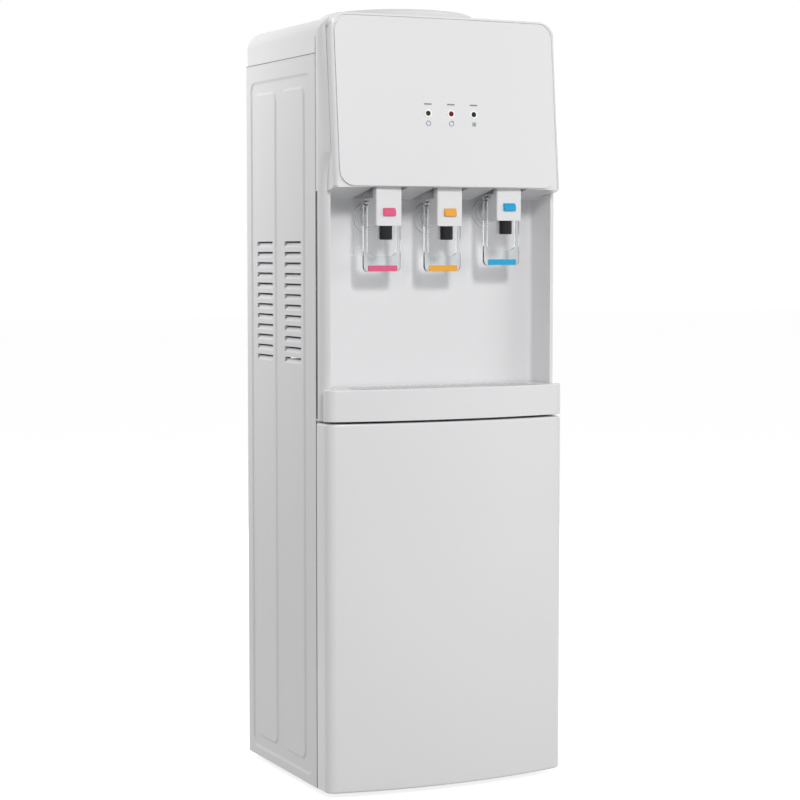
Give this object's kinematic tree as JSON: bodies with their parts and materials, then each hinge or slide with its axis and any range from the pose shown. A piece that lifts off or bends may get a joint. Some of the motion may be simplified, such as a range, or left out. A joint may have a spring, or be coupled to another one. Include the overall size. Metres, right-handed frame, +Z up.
{
  "type": "bottom load water cooler",
  "caption": "Tall free-standing water cooler: bottle behind the lower door, bowed front, drip tray drawer, push-lever taps under a leaning head, round lid on top.",
  "frame": {"origin": "on the floor, under the middle of the outline", "axes": "-Y is the front with the taps and the door, +X is the hinge side (the right as seen from the front), +Z is up"},
  "size_m": [0.363, 0.3144, 1.0945],
  "materials": {
    "white_gloss": "gloss white moulding",
    "white_satin": "satin white moulding",
    "white_sheet": "white powder coat",
    "grey_sheet": "galvanised sheet",
    "clear_lever": "clear moulded plastic",
    "black_plastic": "black moulding",
    "black_paint": "black enamel",
    "pink": "pink moulding",
    "orange": "orange moulding",
    "blue": "blue moulding",
    "lens_olive": "dark olive lens",
    "lens_red": "dark red lens",
    "lens_green": "dark green lens",
    "grey_rubber": "soft grey seal",
    "black_rubber": "black rubber",
    "steel": "stainless steel",
    "board": "green circuit board",
    "foam": "expanded foam",
    "red_rocker": "red rocker",
    "green_rocker": "green rocker"
  },
  "bodies": {
    "cabinet": {"base_tray": "white_satin", "feet": "black_rubber", "left_side_panel": "white_sheet", "right_side_panel": "white_sheet", "rear_panel": "white_sheet", "condenser_coil": "black_paint", "condenser_wires": "black_paint", "top_cover": "white_gloss", "front_frame": "white_gloss", "head_hood": "white_gloss", "head_panel": "white_gloss", "power_light": "lens_olive", "hot_light": "lens_red", "cold_light": "lens_green", "light_board": "board", "hinge_brackets": "grey_sheet", "hinge_pins": "steel", "cross_rail": "white_sheet", "hot_tap": "white_gloss", "room_tap": "white_gloss", "cold_tap": "white_gloss", "tap_nozzles": "black_plastic", "room_button": "orange", "cold_button": "blue", "tap_flanges": "white_gloss", "tap_nuts": "white_satin", "lever_pins": "steel", "compartment_liner": "white_satin", "bottle_probe": "white_satin", "probe_hose": "grey_rubber", "mid_shelf": "grey_sheet", "tank_shelf": "grey_sheet", "compressor": "black_paint", "compressor_grommets": "black_rubber", "water_pump": "black_plastic", "hot_tank": "steel", "tank_insulation": "foam", "cold_tank": "steel", "tank_baffle": "white_satin", "switch_plate": "black_plastic", "mains_inlet": "black_plastic", "drain_spout": "white_satin", "rear_screws": "steel"},
    "door": {"door_panel": "white_gloss", "door_liner": "white_satin", "door_gasket": "grey_rubber"},
    "tray": {"drip_tray": "white_gloss"},
    "grille": {"drip_grille": "white_gloss"},
    "lid": {"top_lid": "white_gloss"},
    "hot_push": {"hot_lever": "clear_lever", "hot_lever_bar": "pink"},
    "room_push": {"room_lever": "clear_lever", "room_lever_bar": "orange"},
    "cold_push": {"cold_lever": "clear_lever", "cold_lever_bar": "blue"},
    "hot_release": {"hot_button": "pink"},
    "heating_rocker": {"heating_switch": "red_rocker"},
    "cooling_rocker": {"cooling_switch": "green_rocker"},
    "drain_plug": {"drain_cap": "black_plastic"}
  },
  "joints": [
    {"name": "door_hinge", "type": "hinge", "parent": "cabinet", "child": "door", "pos_m": [0.172, -0.11115, 0.26], "axis": [0, 0, 1], "range_deg": [0, 105]},
    {"name": "tray_slide", "type": "slide", "parent": "cabinet", "child": "tray", "axis": [0, -1, 0], "range_m": [0, 0.07]},
    {"name": "grille_lift", "type": "slide", "parent": "tray", "child": "grille", "axis": [0, 0, 1], "range_m": [0, 0.03]},
    {"name": "lid_lift", "type": "slide", "parent": "cabinet", "child": "lid", "axis": [0, 0, 1], "range_m": [0, 0.06]},
    {"name": "hot_lever_hinge", "type": "hinge", "parent": "cabinet", "child": "hot_push", "pos_m": [-0.0917, -0.11665, 0.808], "axis": [1, 0, 0], "range_deg": [0, 12], "stiffness_Nm_per_rad": 0.6, "springref_deg": -6.88},
    {"name": "room_lever_hinge", "type": "hinge", "parent": "cabinet", "child": "room_push", "pos_m": [0, -0.11665, 0.808], "axis": [1, 0, 0], "range_deg": [0, 12], "stiffness_Nm_per_rad": 0.6, "springref_deg": -6.88},
    {"name": "cold_lever_hinge", "type": "hinge", "parent": "cabinet", "child": "cold_push", "pos_m": [0.0917, -0.11665, 0.816], "axis": [1, 0, 0], "range_deg": [0, 12], "stiffness_Nm_per_rad": 0.6, "springref_deg": -6.88},
    {"name": "hot_button_slide", "type": "slide", "parent": "cabinet", "child": "hot_release", "axis": [0, 1, 0], "range_m": [0, 0.002], "stiffness_N_per_m": 300, "springref_m": -0.002},
    {"name": "heating_rocker_hinge", "type": "hinge", "parent": "cabinet", "child": "heating_rocker", "pos_m": [-0.108, 0.14785, 0.5982], "axis": [1, 0, 0], "range_deg": [-16, 0]},
    {"name": "cooling_rocker_hinge", "type": "hinge", "parent": "cabinet", "child": "cooling_rocker", "pos_m": [-0.08, 0.14785, 0.5982], "axis": [1, 0, 0], "range_deg": [-16, 0]},
    {"name": "drain_cap_turn", "type": "hinge", "parent": "cabinet", "child": "drain_plug", "pos_m": [0.098, 0.14335, 0.5982], "axis": [0, 1, 0], "range_deg": [0, 90]}
  ]
}
